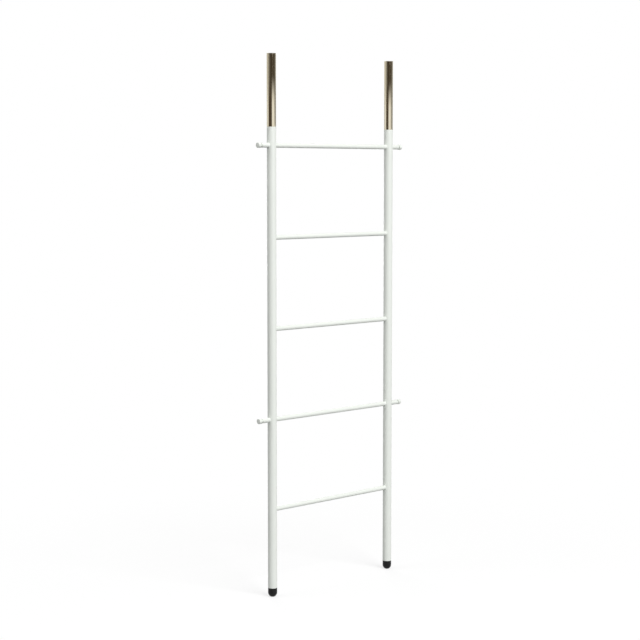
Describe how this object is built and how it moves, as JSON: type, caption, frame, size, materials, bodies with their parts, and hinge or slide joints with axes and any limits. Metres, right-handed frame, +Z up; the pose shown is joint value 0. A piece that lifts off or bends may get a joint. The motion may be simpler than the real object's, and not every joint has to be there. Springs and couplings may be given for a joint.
{
  "type": "towel ladder",
  "caption": "Leaning towel ladder of white round tube with brass-coloured tips, black domed feet, round rungs and short end pegs for hanging towels.",
  "frame": {"origin": "on the floor under the feet, midway between the two rails", "axes": "+Z up along the rails, +X along the rungs to the right rail, front faces -Y, screws face +Y"},
  "size_m": [0.5706, 0.0254, 1.492],
  "materials": {
    "white_powder_coat": "satin powder coat",
    "polished_brass": "polished plating",
    "black_rubber": "matt moulded",
    "zinc_plated_steel": "bright zinc plate",
    "nylon": "moulded"
  },
  "bodies": {
    "root": {"bottom_rung": "white_powder_coat", "fourth_rung": "white_powder_coat", "left_foot": "black_rubber", "left_rail": "white_powder_coat", "left_tip": "polished_brass", "left_tip_cap": "polished_brass", "left_tip_joiner": "zinc_plated_steel", "lower_left_knob": "white_powder_coat", "lower_right_knob": "white_powder_coat", "right_foot": "black_rubber", "right_rail": "white_powder_coat", "right_tip": "polished_brass", "right_tip_cap": "polished_brass", "right_tip_joiner": "zinc_plated_steel", "rung_plugs": "nylon", "rung_screws": "zinc_plated_steel", "second_rung": "white_powder_coat", "third_rung": "white_powder_coat", "top_rung": "white_powder_coat", "upper_left_knob": "white_powder_coat", "upper_right_knob": "white_powder_coat"}
  },
  "joints": []
}
